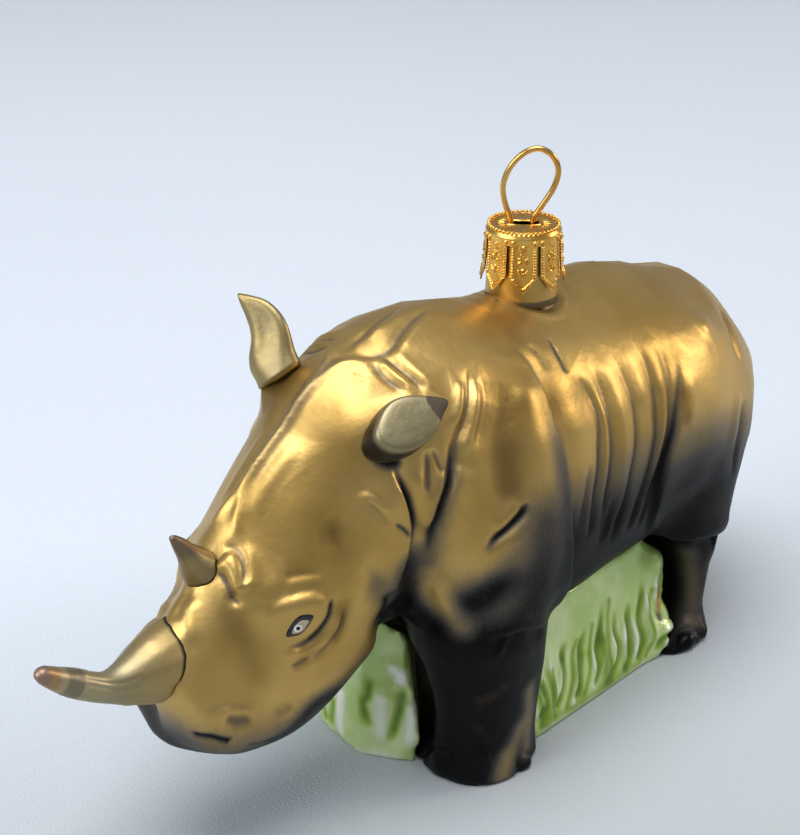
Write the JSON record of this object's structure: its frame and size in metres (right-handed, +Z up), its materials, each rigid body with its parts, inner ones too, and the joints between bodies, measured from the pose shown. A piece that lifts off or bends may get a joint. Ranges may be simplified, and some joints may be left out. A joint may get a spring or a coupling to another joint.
{
  "type": "blown-glass rhinoceros ornament",
  "caption": "Mould-blown glass hanging ornament in the shape of a standing rhinoceros on a grass block, gold and black lacquer, with a stamped crown cap and a wire loop on its back.",
  "frame": {"origin": "on the standing face at the underside of the grass block, straight below the axis of the glass neck and cap", "axes": "+Z up, the rhinoceros faces -Y, its left side is +X"},
  "size_m": [0.0444, 0.1386, 0.0841],
  "materials": {
    "gold_lacquered_glass": "satin gold lacquer shaded to black",
    "smoked_glass": "satin black lacquer",
    "pewter_lacquered_glass": "satin pewter lacquer",
    "green_lacquered_glass": "pearly pale green lacquer",
    "painted_eye": "silver-white paint with a dark pupil",
    "gilt_brass": "bright stamped gilt",
    "gilt_wire": "bright drawn wire"
  },
  "bodies": {
    "root": {"head": "gold_lacquered_glass", "neck": "gold_lacquered_glass", "trunk": "gold_lacquered_glass", "tail": "gold_lacquered_glass", "leg_front_left": "smoked_glass", "leg_front_right": "smoked_glass", "leg_rear_left": "smoked_glass", "leg_rear_right": "smoked_glass", "grass_base": "green_lacquered_glass", "ear_left": "pewter_lacquered_glass", "ear_right": "pewter_lacquered_glass", "horn_front": "pewter_lacquered_glass", "horn_rear": "pewter_lacquered_glass", "eye_left": "painted_eye", "eye_right": "painted_eye", "glass_neck": "gold_lacquered_glass", "cap": "gilt_brass", "hanger": "gilt_wire"}
  },
  "joints": []
}
